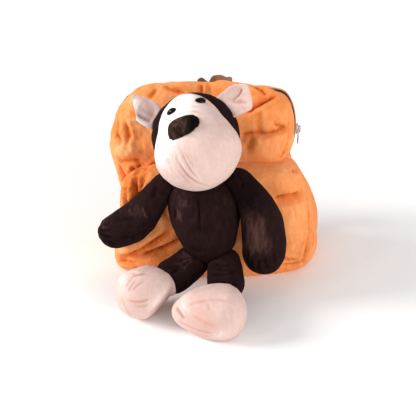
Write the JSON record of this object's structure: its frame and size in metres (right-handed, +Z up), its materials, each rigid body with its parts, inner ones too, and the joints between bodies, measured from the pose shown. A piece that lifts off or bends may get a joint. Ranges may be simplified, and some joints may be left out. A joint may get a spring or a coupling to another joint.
{
  "type": "plush animal backpack",
  "caption": "Small soft plush backpack with a zipped main compartment and a front pocket, shoulder straps and a carrying loop, and a stuffed monkey sewn to its front",
  "frame": {"origin": "middle of the flat base that the bag stands on", "axes": "+Z up, the front with the monkey faces -Y, +X to the right as seen from the front"},
  "size_m": [0.3053, 0.3584, 0.2811],
  "materials": {
    "orange_plush": "short-pile plush with a brushed nap",
    "brown_plush": "short-pile plush with a brushed nap",
    "pale_plush": "short-pile plush with a brushed nap",
    "nose_plush": "short-pile plush with a brushed nap",
    "eye_plastic": "polished",
    "zip_tape": "woven tape",
    "zip_coil": "moulded coil",
    "zip_metal": "bright plated",
    "brown_webbing": "soft woven cloth"
  },
  "bodies": {
    "backpack": {"bag_front": "orange_plush", "bag_back": "orange_plush", "front_pocket": "orange_plush", "zip_tape": "zip_tape", "zip_coil": "zip_coil", "zip_slider": "zip_metal", "carry_loop": "brown_webbing", "strap_left": "brown_webbing", "strap_right": "brown_webbing", "head_back": "brown_plush", "face": "pale_plush", "nose": "nose_plush", "eye_left": "eye_plastic", "eye_right": "eye_plastic", "ear_left": "pale_plush", "ear_right": "pale_plush", "torso": "brown_plush", "arm_left": "brown_plush", "arm_right": "brown_plush", "leg_left": "brown_plush", "leg_right": "brown_plush", "foot_left": "pale_plush", "foot_right": "pale_plush"},
    "zip_puller": {"zip_pull": "zip_metal"}
  },
  "joints": [
    {"name": "pull_swing", "type": "hinge", "parent": "backpack", "child": "zip_puller", "pos_m": [0.11014, 0.03677, 0.1838], "axis": [0, -1, 0], "range_deg": [0, 150]}
  ]
}
